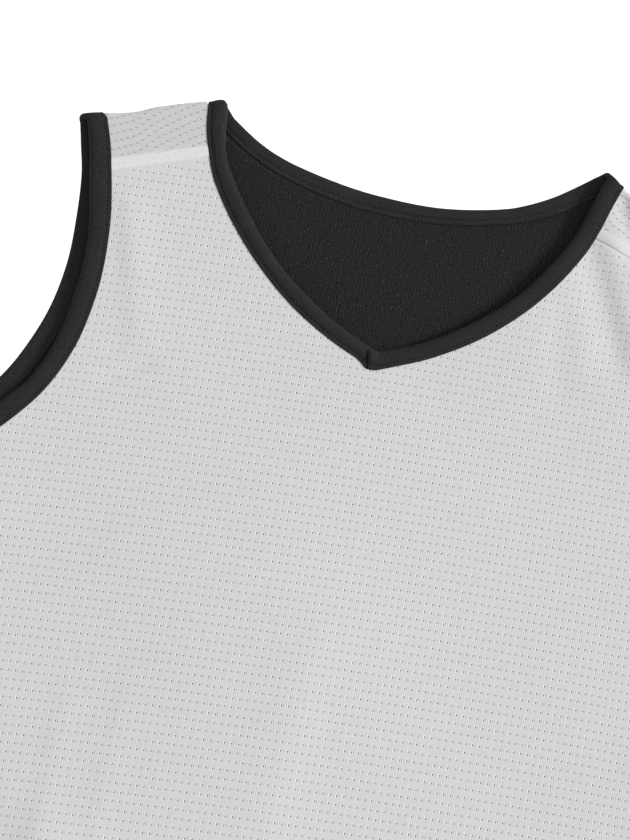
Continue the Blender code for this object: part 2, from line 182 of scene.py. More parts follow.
# Slight waves of a binding: so far along its edge, the whole band lies so far towards the
# opening, and its free edge so much further
WAVES = {
    ("neck_front", -1): (
        (0.0, 0.0, 1.3), (14.0, 0.3, 1.6), (28.0, 0.5, 1.6), (56.0, 0.4, 1.6),
        (70.0, 0.4, 0.75), (84.0, 0.5, 0.2), (108.0, 0.3, 0.0), (138.0, -0.4, 0.0),
        (146.0, -0.5, -0.9), (154.0, -0.45, -1.0), (162.0, -0.4, 0.0), (172.0, -0.3, 0.65),
        (179.0, -0.3, 0.15),
    ),
    ("neck_front", 1): (
        (0.0, 0.0, 1.3), (7.0, -0.1, 1.7), (40.0, -0.25, 1.6), (64.0, -0.45, 1.4),
        (78.0, -0.45, 0.5), (94.0, -0.35, 0.0), (120.0, 0.2, 0.0), (140.0, 0.45, 0.0),
        (156.0, 0.1, 0.0), (168.0, -0.2, 0.0),
    ),
    ("neck_back", -1): (
        (0.0, 0.0, 0.0), (21.0, 0.0, 0.4), (40.0, 0.0, 0.6), (58.0, 0.0, 0.5),
        (80.0, 0.0, -0.3), (96.0, 0.0, -0.3), (104.0, 0.0, -0.6), (112.0, 0.0, -1.0),
        (120.0, 0.0, -0.4),
    ),
    ("neck_back", 1): (
        (0.0, 0.0, 0.0), (8.0, 0.0, -0.35), (24.0, 0.0, -0.6), (64.0, 0.0, -0.6),
        (81.0, 0.0, 0.1), (91.0, 0.0, 0.45), (105.0, 0.0, 0.25), (114.0, 0.0, 0.85),
        (127.0, 0.0, 1.6),
    ),
    ("arm_front", -1): (
        (119.0, 0.0, 0.0), (133.0, 0.0, -0.95), (152.0, 0.0, -0.85), (166.0, 0.0, -0.1),
        (176.0, 0.0, 0.15), (189.0, 0.0, 0.95), (203.0, 0.0, 0.95), (224.0, 0.0, 0.4),
        (245.0, 0.0, 0.95), (260.0, 0.0, 1.05), (280.0, 0.0, 0.1), (290.0, 0.0, -0.2),
    ),
    ("arm_front", 1): (
        (90.0, 0.0, 0.0), (120.0, 0.0, -0.6), (150.0, 0.0, 0.3), (190.0, 0.0, 0.8),
        (225.0, 0.0, 0.3), (260.0, 0.0, 0.6), (284.0, 0.0, 0.0),
    ),
}

# Soft folds of the front: from x, y down to x, y, height (below 0 for a trough), and half
# width to the left and to the right of the crest
FOLDS = (
    (-148.0, -55.0, -122.0, -156.0, 0.5, 5.5, 13.0),
    (98.5, -27.0, 137.0, -119.0, -1.2, 12.0, 7.0),
    (107.5, -23.0, 146.0, -115.0, 0.6, 8.0, 14.0),
    (94.0, -64.0, 101.0, -138.0, -0.4, 8.0, 8.0),
    (-30.0, -110.0, -70.0, -720.0, 2.6, 95.0, 95.0),
    (-3.0, -250.0, -17.0, -400.0, 0.5, 20.0, 13.0),
    (-118.0, -372.0, -134.0, -520.0, 1.6, 18.0, 26.0),
    (-244.0, -266.0, -186.0, -326.0, 1.6, 14.0, 18.0),
    (240.0, -262.0, 176.0, -334.0, 1.8, 18.0, 14.0),
    (92.0, -400.0, 60.0, -590.0, 1.8, 30.0, 22.0),
    (-160.0, -470.0, -196.0, -720.0, 2.2, 24.0, 34.0),
    (198.0, -480.0, 214.0, -730.0, 2.2, 34.0, 26.0),
    (-48.0, -520.0, -70.0, -748.0, 1.8, 26.0, 34.0),
)

# Creases finer than the folds, in the same columns
CREASES = (
    (-150.0, -58.0, -134.0, -112.0, 0.2, 3.5, 9.0),
    (-145.0, -165.0, -111.0, -148.5, -0.5, 3.0, 3.0),
    (-124.0, -312.0, -127.0, -420.0, 0.25, 5.5, 6.5),
    (-95.5, -300.0, -98.5, -420.0, 0.2, 4.5, 9.0),
    (117.0, -7.5, 134.5, -49.0, -2.0, 7.2, 3.6),
)

# A binding's cross-section: the point lies share * width + millimetres from the ply's
# edge, at a level. It runs round from the slot that holds both plies: a flat flange under
# the stitches, a full roll, the roll's outer edge, and the same flatter inside.
BINDING_SECTION = (
    (0.0, 1.30, 0.24), (0.0, 0.12, 0.24), (0.0, 0.00, 0.10), (0.0, 0.10, -0.08),
    (0.0, 0.45, -0.15), (0.0, 1.20, -0.17), (0.0, 1.90, -0.15), (0.0, 2.35, -0.22),
    (0.0, 2.85, -0.52), (0.25, 1.50, -0.72), (0.5, 0.30, -0.85), (0.75, -0.50, -0.77),
    (1.0, -2.10, -0.52), (1.0, -1.25, -0.18), (1.0, -0.60, 0.25), (1.0, -0.15, 0.75),
    (1.0, 0.00, 1.30), (1.0, -0.12, 1.78), (1.0, -0.50, 2.20), (1.0, -1.30, 2.42),
    (1.0, -2.60, 2.50), (0.5, 0.00, 2.48), (0.0, 3.00, 2.45), (0.0, 2.35, 2.26),
    (0.0, 1.95, 2.40), (0.0, 0.60, 2.42), (0.0, 0.10, 2.32), (0.0, 0.00, 2.16),
    (0.0, 0.12, 2.00), (0.0, 1.30, 2.00),
)
FREE_POINT = 16                  # the section's point at the free edge
BINDING_STEP = 1.0               # between two cross-sections
ROLL_STEPS = 20                  # cross-sections over a shoulder or round a side
ROLL_SPREAD = 0.6                # a binding spreads to its back place early in the roll
# Where a binding's roll leaves the even one, on the left and on the right strap: how far
# its ply edge sinks and moves towards the opening, then the same of its free edge
ROLL_SHAPE = {
    "neck_front": {-1: (0.6, 0.5, 0.0, -1.3), 1: (3.9, 1.0, 0.6, -0.3)},
    "arm_front": {-1: (0.0, 0.0, 0.0, 1.2), 1: (0.0, 0.0, 0.0, 0.6)},
}
# The neck band's upper end lies this far from the V, at its inner and its free edge
LAP = ((-3.7, 0.4), (-5.7, 0.2))
LAP_ROWS = 5
LAP_AT_FLANGE = 0.3              # share of its rise and fall that the flange takes part in
TUCK_UNDER = 3.0                 # the lower end, past the V
TUCK_DOWN = (4.5, 1.6)           # it has sunk this far before the V, and over this length
LAP_RAISE = 1.6                  # how far the upper end rides up on the lower one
LAP_FLAT = 1.5                   # length that rides up, and over which it comes down
LAP_FADE = 5.0
LAP_END = (0.25, 0.9)            # the end is so much lower, and rounds up over this length
VEE_SWELL = (5.0, 3.6, 1.9)      # the lower strand fills out here: middle, half width, by
TUCK_SINK = 0.6                  # how far the lower end sinks
SQUEEZED = (0.15, 0.65)          # share by which the upper and the lower end are flattened
ENDS_LEFT = (0.85, 0.5)          # share of the thickness left at the very ends

ARM_FULLER = 0.22                # how much higher the free edge stands round the armholes

# Thread: how far a row lies from the binding's inner edge, and a stitch's length, width
# and height and the pitch of the row
FLANGE_ROW = 1.25
THREAD_LEVELS = (-0.2, 2.43)     # on the front, and on the inside of the back
BINDING_STITCH = (1.7, 0.42, 0.26, 2.2)
HEM_STITCH = (2.6, 0.42, 0.3, 3.2)
HEM_ROW_LEVEL = OUTER_LEVEL - 0.02
HEM_ROW = (3.0, 4.0)             # its distance from the side, and the pitch of its points
BAND_FLAT_WIDTH = 12.5           # of a folded binding

# Where points of the plies' meshes lie
NET = ((-300, -830), (300, 60))
MERGE = 1e-4                     # points closer than this are one
SHORTEST = 0.05                  # step of an outline
END_FADE = 16.0                  # length over which a binding turns to its fold's direction
EYELET_MARGIN = 0.8              # from the cloth's edge to an eyelet's middle
EYELET_CLEAR = (0.4, 0.95)       # from an eyelet's middle to a loose point, across and up
HEM_CLEAR = 1.2                  # from the hem's edge
LINING_HEM = 1.0                 # the linings end this far above the hem's edge
# From a shoulder seam to the nearest eyelet or, on a lining, loose point: (front, outer)
SEAM_CLEAR = {(True, True): 1.5, (True, False): 2.5,
              (False, True): SEAM_BAND + 0.9, (False, False): 9.0}
BELOW_SEAM = (-0.3, -0.6, -1.0, -1.6)
ABOVE_SEAM = (0.3, 0.6, 1.0, 1.6, 2.4, 4.0, 6.2, 7.0, 7.8, 8.6)
SEAM_REACH = (-6.0, 60.0, 1.3)   # from the neck along a seam: start, end, pitch
ROLL_REACH = (-10.0, 70.0)       # the same along a shoulder's roll
ROLL_NET = (1.7, 1.1)            # pitch of the points over a shoulder
ROLL_EDGE = 1.2                  # how far past it they go
LOOSE_REACH = 276
HEM_NET, LINING_NET = (8.0, 5.0), (5.0, 5.0)
ROLL_MARGIN, SEAM_MARGIN, LOOSE_MARGIN = 0.3, 0.1, 1.0   # from the cloth's edge


# ---- Curves and the folded form

def ease(value):
    """Smooth step from 0 to 1."""
    value = np.clip(value, 0.0, 1.0)
    return value * value * (3.0 - 2.0 * value)


def lift(x, y):
    """How far the front plies lie above their flat stack."""
    total = np.zeros_like(x)
    for x0, y0, x1, y1, height, left_width, right_width in FOLDS + CREASES:
        run_x, run_y = x1 - x0, y1 - y0
        share = ((x - x0) * run_x + (y - y0) * run_y) / (run_x ** 2 + run_y ** 2)
        aside = (run_x * (y - y0) - run_y * (x - x0)) / np.hypot(run_x, run_y)
        across = aside / np.where(aside > 0.0, right_width, left_width)
        fade = ease(share / FOLD_FADE) * ease((1.0 - share) / FOLD_FADE)
        total += height * fade * np.exp(-across ** 2)
    near, far = SIDE_FADE
    calm = 1.0 - ease((np.abs(x) - near) / (far - near))
    open_neck = LOFT * ease((y - LOFT_NONE_Y) / (LOFT_FULL_Y - LOFT_NONE_Y))
    return np.maximum(open_neck + total * calm, 0.0)


def smooth_curve(rows, steps=16):
    """Catmull-Rom curve through a table's rows."""
    rows = np.array(rows)
    padded = np.vstack((rows[:1], rows, rows[-1:]))
    share = np.arange(steps)[:, None] / steps
    fine = []
    for a, b, c, d in zip(padded, padded[1:], padded[2:], padded[3:]):
        bend = 2 * a - 5 * b + 4 * c - d + share * (3 * (b - c) + d - a)
        fine.append(b + 0.5 * share * (c - a + share * bend))
    return np.vstack(fine + [rows[-1:]])


def lengths_along(points):
    """Distance from the first point to each one, along the line."""
    steps = np.linalg.norm(np.diff(points[:, :2], axis=0), axis=1)
    return np.concatenate(([0.0], np.cumsum(steps)))


def evenly(points, count):
    """count + 1 evenly spaced points of a line."""
    length = lengths_along(points)
    at = np.linspace(0.0, length[-1], count + 1)
    return np.stack([np.interp(at, length, column) for column in points.T], 1)


def across(line):
    """Unit vectors to the left of a line's direction of travel."""
    travel = np.gradient(line[:, :2], axis=0)
    travel /= np.linalg.norm(travel, axis=1)[:, None]
    return np.stack((-travel[:, 1], travel[:, 0]), 1)


def fold_out(side):
    """Plan direction in which a strap rolls over the shoulder, for x measured outwards."""
    return np.array((sin(LEAN[side]), cos(LEAN[side])))


def crossing(name, side):
    """Where an edge crosses the middle of the shoulder roll."""
    x = EDGES[name][1][side]
    out = fold_out(side)
    tops = np.array(SHOULDER)
    top_y = np.interp(x + out[0] * SHOULDER_RADIUS, tops[:, 0], tops[:, 1 if side < 0 else 2])
    return x, top_y - out[1] * SHOULDER_RADIUS


def edge_pair(name, side):
    """A binding's two edges in plan, evenly spaced: at the ply, and free.

    Both end on the shoulder's fold. The neck's free edges meet in a mitre at the V.
    """
    table, _, off_centre = EDGES[name]
    table = tuple((x + side * off_centre, y, width) for x, y, width in table)
    edge = smooth_curve(table + ((*crossing(name, side), table[-1][2]),))
    hand = 1.0 if name.startswith("neck") else -1.0
    out = fold_out(side)
    axis = np.array((-out[1], out[0])) * hand
    length = lengths_along(edge)
    direction = across(edge) * hand
    to_fold = ease(1.0 - (length[-1] - length) / END_FADE)[:, None]
    direction = direction * (1.0 - to_fold) + axis * to_fold
    if name != "neck_front":
        to_start = ease(1.0 - length / END_FADE)[:, None]
        direction = direction * (1.0 - to_start) + np.array((0.0, 1.0)) * to_start
    direction /= np.linalg.norm(direction, axis=1)[:, None]
    reach = edge[:, 2] / np.sum(direction * across(edge) * hand, axis=1)
    if (name, side) in WAVES:
        along, whole, further = np.transpose(WAVES[name, side])
        edge[:, :2] += direction * np.interp(length, along, whole)[:, None]
        reach += np.interp(length, along, further)
    free = edge[:, :2] + direction * reach[:, None]
    if name == "neck_front":
        first = int(np.argmax(free[:, 0] > edge[0, 0]))
        low, high = free[first - 1], free[first]
        mitre = low + (high - low) * ((edge[0, 0] - low[0]) / (high[0] - low[0]))
        free = np.vstack((mitre, free[first:]))
    count = int(length[-1] / BINDING_STEP)
    return evenly(edge[:, :2], count), evenly(free, count)


def lay(plan, side=1, turn=0.0, out=(0.0, 0.0), height=None):
    """Places on the cloth, a row for each: x, y, turn over a fold, its direction, height."""
    plan = plan * (side, 1.0)
    count = len(plan)
    out = np.tile(np.array(out) * (side, 1.0), (count, 1))
    height = lift(*plan.T) if height is None else np.full(count, height)
    return np.column_stack((plan, np.full(count, turn), out, height))


def points_at(laid, level):
    """The points that lie level inside the stack's outer face."""
    turn = laid[:, 2]
    middle = (STACK + laid[:, 5]) / 2
    radius = middle - level
    plan = laid[:, :2] + laid[:, 3:5] * (radius * np.sin(turn))[:, None]
    return np.column_stack((plan, middle + radius * np.cos(turn)))


def fold_line(side):
    """Middle of the shoulder roll: a point, the direction outwards along it, and across."""
    start, end = (np.array(crossing(name, side)) for name in ("neck_front", "arm_front"))
    along = (end - start) / np.linalg.norm(end - start)
    return start, along, np.array((-along[1], along[0]))


def sag(side, distance):
    """How far a strap's fold has sunk, at a distance along it."""
    return sum(depth * np.exp(-((distance - middle) / half_width) ** 2)
               for middle, half_width, depth in FOLD_SAG[side])


def by_fold(plan, side):
    """How far along the roll's middle places lie, how far past it, and its sag there."""
    start, along, out = fold_line(side)
    reach = plan - start
    run = reach @ along
    return run, reach @ out, sag(side, run)


def from_fold(side, run, beyond):
    """Places so far along the roll's middle, and so far past it."""
    start, along, out = fold_line(side)
    return start + np.outer(run, along) + np.outer(beyond, out)


def seam_line(side):
    """The front shoulder seam, for x measured outwards: its end at the neck, and its way."""
    neck, arm = np.array(NECK_FRONT[NECK_SEAM_ROW][:2]), np.array(ARM_FRONT[ARM_SEAM_ROW][:2])
    return neck - (0.0, SEAM_DROP[side]), (arm - neck) / np.linalg.norm(arm - neck)


def seam_height(x, y):
    """Distance in plan above the front shoulder seam."""
    height = np.zeros_like(x)
    for side in (-1, 1):
        neck, along = seam_line(side)
        above = (side * x - neck[0]) * -along[1] + (y - neck[1]) * along[0]
        height = np.where(x * side >= 0.0, above, height)
    return height


def turn_hem(y, level):
    """y and level once the hem's allowance has turned up inside."""
    start = -LENGTH + HEM_RADIUS
    past = np.maximum(start - y, 0.0)
    turn = np.minimum(past / HEM_RADIUS, pi)
    straight = np.maximum(past - pi * HEM_RADIUS, 0.0)
    return (np.maximum(y, start) - HEM_RADIUS * np.sin(turn) + straight,
            level + HEM_RADIUS * (1.0 - np.cos(turn)))


def front_place(flat, level):
    """Where points of the front's pattern lie."""
    y, level = turn_hem(flat[:, 1], level)
    past = np.maximum(np.abs(flat[:, 0]) - SIDE_AXIS, 0.0)
    x = np.sign(flat[:, 0]) * np.minimum(np.abs(flat[:, 0]), SIDE_AXIS)
    dip = np.where(x < 0.0, SEAM_DIP[-1], SEAM_DIP[1])
    level = level + dip * np.exp(-(seam_height(x, y) / SEAM_DIP_WIDTH) ** 2)
    middle = (STACK + np.where(past > 0.0, 0.0, lift(x, y))) / 2
    radius = middle - level
    turn = np.minimum(past / (SIDE_RADIUS - level), pi / 2)
    return np.column_stack((x + np.sign(x) * radius * np.sin(turn), y,
                            middle + radius * np.cos(turn)))


def back_place(flat, level):
    """Where points of the back's pattern lie: under the front, then over the shoulders."""
    base_level = level
    y, level = turn_hem(flat[:, 1], level)
    past = np.maximum(np.abs(flat[:, 0]) - SIDE_AXIS, 0.0)
    side = np.where(flat[:, 0] < 0.0, -1.0, 1.0)
    x = np.minimum(np.abs(flat[:, 0]), SIDE_AXIS)
    turn = pi - np.minimum(past / (SIDE_RADIUS - level), pi / 2)
    placed = np.column_stack((side * (x + (SIDE_RADIUS - level) * np.sin(turn)), y,
                              SIDE_RADIUS + (SIDE_RADIUS - level) * np.cos(turn)))
    radius = SHOULDER_RADIUS - base_level
    rise, fall = BAND_SLOPES
    for hand in (-1, 1):
        run, beyond, sunk = by_fold(np.column_stack((x, y)), hand)
        beyond = beyond + sunk
        chosen = (side == hand) & (beyond > 0.0)
        run, beyond, sunk = run[chosen], beyond[chosen], sunk[chosen]
        turn = np.minimum(beyond / radius, pi)
        past_roll = np.maximum(beyond - pi * radius, 0.0) / STRIP_EASE
        plan = from_fold(hand, run, radius * np.sin(turn) - past_roll - sunk)
        above = seam_height(hand * plan[:, 0], plan[:, 1])
        sink = (SEAM_DIP[hand] * np.exp(-(above / SEAM_DIP_WIDTH) ** 2)
                - BAND_RISE * ease(above / rise) * ease((SEAM_BAND + fall / 2 - above) / fall))
        height = np.where(past_roll > 0.0, lift(hand * plan[:, 0], plan[:, 1]), LOFT)
        on_front = STACK + height - base_level - sink
        on_roll = SHOULDER_RADIUS - radius * np.cos(turn)
        z = np.where(past_roll > 0.0, on_front, on_roll)
        placed[chosen] = np.column_stack((hand * plan[:, 0], plan[:, 1], z))
    return placed


def unroll(plan, side, radius):
    """The back's pattern for places on a strap's front strip, x measured outwards."""
    run, beyond, sunk = by_fold(plan, side)
    return from_fold(side, run, pi * radius - (beyond + sunk) * STRIP_EASE - sunk)


# ---- Pattern pieces

def toward(edge, free, distance):
    """An edge moved towards the free edge beside it."""
    reach = free - edge
    return edge + reach / np.linalg.norm(reach, axis=1)[:, None] * distance


def split_at_seam(name, side):
    """Where a front ply edge lies in its slot: below the shoulder seam, and above it."""
    points = toward(*edge_pair(name, side), SLOT_DEPTH)
    above = seam_height(side * points[:, 0], points[:, 1])
    first = int(np.argmax(above > 0.0))
    share = above[first - 1] / (above[first - 1] - above[first])
    meet = points[first - 1] + (points[first] - points[first - 1]) * share
    return np.vstack((points[:first], meet)), np.vstack((meet, points[first:]))


def side_reach(level):
    """Half width of a pattern that curls round to the side seam."""
    return SIDE_AXIS + (SIDE_RADIUS - level) * pi / 2


def hem_reach():
    """y of the end of the hem's allowance, before it is turned up."""
    return -LENGTH + HEM_RADIUS - pi * HEM_RADIUS - HEM_TURN_UP


def between(start, end, count=40):
    """Points that divide the straight run between two points."""
    return start + (end - start) * (np.arange(1, count) / count)[:, None]


def front_half(side, half_width, hem_y):
    """Outline of half the front, from the hem to the V."""
    neck, arm = split_at_seam("neck_front", side)[0], split_at_seam("arm_front", side)[0]
    corners = np.array(((half_width, hem_y), (half_width, arm[0, 1])))
    return np.vstack((corners, arm, between(arm[-1], neck[-1]), neck[::-1])) * (side, 1.0)


def back_half(side, half_width, hem_y, level):
    """Outline of half the back, from the hem over the shoulder to the nape."""
    radius = SHOULDER_RADIUS - level
    arm = toward(*edge_pair("arm_back", side), SLOT_DEPTH)
    neck = toward(*edge_pair("neck_back", side), SLOT_DEPTH)
    arm_strip = split_at_seam("arm_front", side)[1]
    neck_strip = split_at_seam("neck_front", side)[1]
    corners = np.array(((half_width, hem_y), (half_width, arm[0, 1])))
    seam = between(arm_strip[0], neck_strip[0])
    strip = np.vstack((arm_strip[::-1], seam, neck_strip))
    return np.vstack((corners, arm, unroll(strip, side, radius), neck[::-1])) * (side, 1.0)


def whole_outline(half):
    """Outline of both halves of a pattern, anticlockwise from the hem's middle."""
    right, left = half(1), half(-1)[::-1]
    outline = np.vstack((right, left))
    keep = np.linalg.norm(outline - np.roll(outline, 1, axis=0), axis=1) > SHORTEST
    return outline[keep]


def within(points, outline, margin):
    """The points that lie inside a closed outline by more than a margin."""
    nearest = np.full(len(points), np.inf)
    inside = np.zeros(len(points), bool)
    for a, b in zip(outline, np.roll(outline, -1, axis=0)):
        run = b - a
        share = np.clip(((points - a) @ run) / (run @ run), 0.0, 1.0)
        nearest = np.minimum(nearest, np.linalg.norm(points - a - share[:, None] * run, axis=1))
        if a[1] != b[1]:
            level_with = (a[1] > points[:, 1]) != (b[1] > points[:, 1])
            inside ^= level_with & (
                points[:, 0] < a[0] + run[0] * (points[:, 1] - a[1]) / run[1])
    return points[inside & (nearest > margin)]


def grid(low, high, pitch):
    """Middles of a regular net's cells between two corners."""
    x, y = ((np.arange(np.floor(a / p), np.ceil(b / p)) + 0.5) * p
            for a, b, p in zip(low, high, pitch))
    return np.stack(np.meshgrid(x, y), -1).reshape(-1, 2)


def bow(x):
    """How far the front's rows have moved up from straight."""
    return ROW_TILT * x + ROW_BOW * x * x


def cut_cloth(name, outline, eyelets, extra, lines, place, knit, material, outward=1):
    """Mesh of a ply cut to an outline, with its eyelets open, laid by place.

    extra are loose points that give the cloth shape, and lines are pairs of pattern
    points that its faces don't cross. knit gives the knit's own coordinates.
    """
    count, corners = len(outline), np.array(EYELET)
    edges = [(i, (i + 1) % count) for i in range(count)]
    starts = count + np.arange(len(eyelets)) * len(corners)
    for step in range(len(corners)):
        after = (step + 1) % len(corners)
        edges += zip((starts + step).tolist(), (starts + after).tolist())
    rings = (eyelets[:, None] + corners).reshape(-1, 2)
    start = count + len(rings) + len(extra)
    for line in lines:
        edges += [(i, i + 1) for i in range(start, start + len(line) - 1)]
        start += len(line)
    flat, _, faces, sources, _, _ = delaunay_2d_cdt(
        [Vector(point) for point in np.vstack((outline, rings, extra, *lines))], edges, [], 1,
        MERGE)
    flat, faces = np.array(flat), np.array(faces)
    source = np.array([found[0] if found else 0 for found in sources]) - count
    ring = np.where((source >= 0) & (source < len(rings)), source // len(corners), -1)[faces]
    opened = (ring[:, 0] >= 0) & (ring.min(1) == ring.max(1))
    faces = faces[~opened]
    if outward < 0:
        faces = faces[:, ::-1]
    mesh = bpy.data.meshes.new(name)
    mesh.from_pydata(to_metres(place(flat)).tolist(), [], faces.tolist())
    corner = faces.ravel()
    for label, values in knit(flat).items():
        layer = mesh.uv_layers.new(name=label)
        layer.uv.foreach_set("vector", (values[corner] * METRE).astype(np.float32).ravel())
    mesh.shade_smooth()
    return add_object(name, mesh, material)


def to_metres(points):
    """Points of the tables' frame in the part's own frame."""
    return (points + (0.0, Y_SHIFT, 0.0)) * METRE


def add_object(name, data, material=None):
    """Object in the scene for a finished mesh, a lamp or a camera."""
    if material and not data.materials:
        data.materials.append(material)
    obj = bpy.data.objects.new(name, data)
    bpy.context.scene.collection.objects.link(obj)
    return obj


# ---- Finishes

def srgb(code):
    """Linear colour of an sRGB hex code."""
    parts = [int(code[start:start + 2], 16) / 255 for start in (0, 2, 4)]
    linear = [p / 12.92 if p <= 0.04045 else ((p + 0.055) / 1.055) ** 2.4 for p in parts]
    return (*linear, 1.0)


def add_node(tree, kind, inputs=(), **settings):
    """A node with its settings. An input is a value, a socket, or a node for its first output."""
    made = tree.nodes.new(kind)
    for name, value in settings.items():
        setattr(made, name, value)
    for name, value in inputs.items() if isinstance(inputs, dict) else enumerate(inputs):
        if isinstance(value, bpy.types.Node):
            value = value.outputs[0]
        if isinstance(value, bpy.types.NodeSocket):
            tree.links.new(value, made.inputs[name])
        else:
            made.inputs[name].default_value = value
    return made


def new_finish(name, roughness, sheen=0.0):
    """Material, its node tree and its shader."""
    material = bpy.data.materials.new(name)
    material.use_nodes = True
    shader = material.node_tree.nodes["Principled BSDF"]
    for label, value in (("Roughness", roughness), ("Metallic", 0.0), ("Sheen Weight", sheen),
                         ("Specular IOR Level", 0.15), ("Sheen Roughness", 0.5)):
        shader.inputs[label].default_value = value
    return material, material.node_tree, shader


def in_cell(tree, coords, pitch):
    """Millimetres from the middle of the cell of a pattern with this pitch."""
    for operation, *others in (("MULTIPLY", [1 / (size * METRE) for size in pitch] + [0.0]),
                               ("FRACTION",), ("SUBTRACT", (0.5, 0.5, 0.0)),
                               ("MULTIPLY", (*pitch, 0.0))):
        coords = add_node(tree, "ShaderNodeVectorMath", (coords, *others), operation=operation)
    return coords


def spot(tree, cell, middle, half, slant=0.0, soft=0.6):
    """1 on an oval patch of the cell, and 0 off it, with a soft rim.

    slant is how far the patch leans to the right for each millimetre up.
    """
    add = partial(add_node, tree)
    moved = add("ShaderNodeVectorMath", (cell, (*middle, 0.0)), operation="SUBTRACT")
    if slant:
        height = add("ShaderNodeSeparateXYZ", (moved,)).outputs["Y"]
        lean = add("ShaderNodeVectorMath", {0: (slant, 0.0, 0.0), "Scale": height},
                   operation="SCALE")
        moved = add("ShaderNodeVectorMath", (moved, lean), operation="SUBTRACT")
    scaled = add("ShaderNodeVectorMath", (moved, (*half, 1.0)), operation="DIVIDE")
    distance = add("ShaderNodeVectorMath", (scaled,), operation="LENGTH").outputs["Value"]
    return add("ShaderNodeMapRange", interpolation_type="SMOOTHSTEP", inputs={
        "Value": distance, "From Min": 1.0 + soft, "From Max": 1.0 - soft})


def swayed(tree, coords, scale, reach):
    """Coordinates moved unevenly, by up to so many millimetres across and up."""
    noise = add_node(tree, "ShaderNodeTexNoise", {"Vector": coords, "Scale": scale, "Detail": 1.0})
    return add_node(tree, "ShaderNodeVectorMath", operation="MULTIPLY_ADD", inputs=(
        noise.outputs["Color"], (reach[0] * METRE, reach[1] * METRE, 0.0), coords))


def summed(tree, start, patterns):
    """A start value, plus each pattern times its amount."""
    for pattern, amount in patterns:
        start = add_node(tree, "ShaderNodeMath", (pattern, amount, start),
                         operation="MULTIPLY_ADD")
    return start


def waves(pitch):
    """Scale at which a wave texture's bands lie a pitch apart."""
    return 2 * pi / 20 / (pitch * METRE)


def dress(tree, shader, colour, tone, relief, strength):
    """Give the shader a colour times the tone, and the relief, which is in millimetres."""
    base = add_node(tree, "ShaderNodeVectorMath", operation="SCALE", inputs={
        0: srgb(colour)[:3], "Scale": tone})
    bump = add_node(tree, "ShaderNodeBump", {
        "Height": relief, "Distance": METRE, "Strength": strength})
    tree.links.new(base.outputs[0], shader.inputs["Base Color"])
    tree.links.new(bump.outputs[0], shader.inputs["Normal"])


def mesh_knit(name, colour, shine):
    """Circular-knit polyester eyelet mesh: each eyelet has a raised loop on its left and a
    shallow dimple on its right, on flat matt jersey between the rows. The loop gets a
    painted highlight and a fainter one lies further right; the dimple and a ring round the
    eyelet get painted shade, which is also drawn faintly for the closed eyelets of the band
    over a shoulder seam. The jersey's wales show as faint upright lines, four to a column
    of eyelets."""
    material, tree, shader = new_finish(name, 0.8, sheen=0.05)
    add = partial(add_node, tree)
    coords = add("ShaderNodeUVMap", uv_map="knit")
    trim = add("ShaderNodeSeparateXYZ", (add("ShaderNodeUVMap", uv_map="trim"),)).outputs
    below, above, within_band = (
        add("ShaderNodeMapRange", interpolation_type="SMOOTHSTEP", inputs={
            "Value": trim["X"], "From Min": start * METRE, "From Max": end * METRE})
        for start, end in SEAM_EDGES)
    plain, backed = (add("ShaderNodeMath", (edge, within_band), operation="MULTIPLY")
                     for edge in (below, above))
    open_knit = add("ShaderNodeMath", (1.0, plain), operation="SUBTRACT")
    cell = in_cell(tree, coords, (COLUMN, ROW))
    # Painted light on each eyelet: a painted highlight on the loop and a fainter one further
    # right, painted shade in the dimple and in a ring round it
    loop = spot(tree, cell, (-0.76, -0.05), (0.26, 0.95), slant=0.12)
    far_loop_highlight = spot(tree, cell, (1.55, -0.2), (0.22, 0.8))
    dimple = spot(tree, cell, (0.95, -0.05), (0.5, 0.8))
    rim = spot(tree, cell, (0.05, 0.0), (0.45, 0.8), slant=0.2)
    # band is the seam allowance showing lighter through the mesh; the other is the ring's painted
    # shade drawn faintly over it, for the closed eyelets there
    band, backed_hole_shade = (add("ShaderNodeMath", (backed, pattern), operation="MULTIPLY")
                    for pattern in (trim["Y"], rim))
    wale = add("ShaderNodeTexWave", {"Vector": coords, "Scale": waves(COLUMN / 4),
                                     "Distortion": 0.5})
    grain, mottle, patchy = (
        add("ShaderNodeTexNoise", {"Vector": coords, "Scale": scale, "Detail": detail})
        for scale, detail in ((1500.0, 2.0), (280.0, 1.0), (14.0, 2.0)))
    # The eyelets' painted highlights and painted shade, in one sum
    marks = summed(tree, 0.0, ((loop, shine), (far_loop_highlight, 0.07), (dimple, -0.1), (rim, -0.12)))
    jersey = summed(tree, 0.88, ((grain, 0.12), (mottle, 0.1), (patchy, 0.05),
                                 (band, 0.22 / METRE), (backed_hole_shade, -0.12)))
    tone = add("ShaderNodeMath", (marks, open_knit, jersey), operation="MULTIPLY_ADD")
    raised = summed(tree, 0.0, ((loop, 0.12), (dimple, -0.08), (wale, 0.02)))
    relief = add("ShaderNodeMath", (raised, open_knit), operation="MULTIPLY")
    dress(tree, shader, colour, tone, summed(tree, relief, ((grain, 0.06),)), 0.8)
    return material


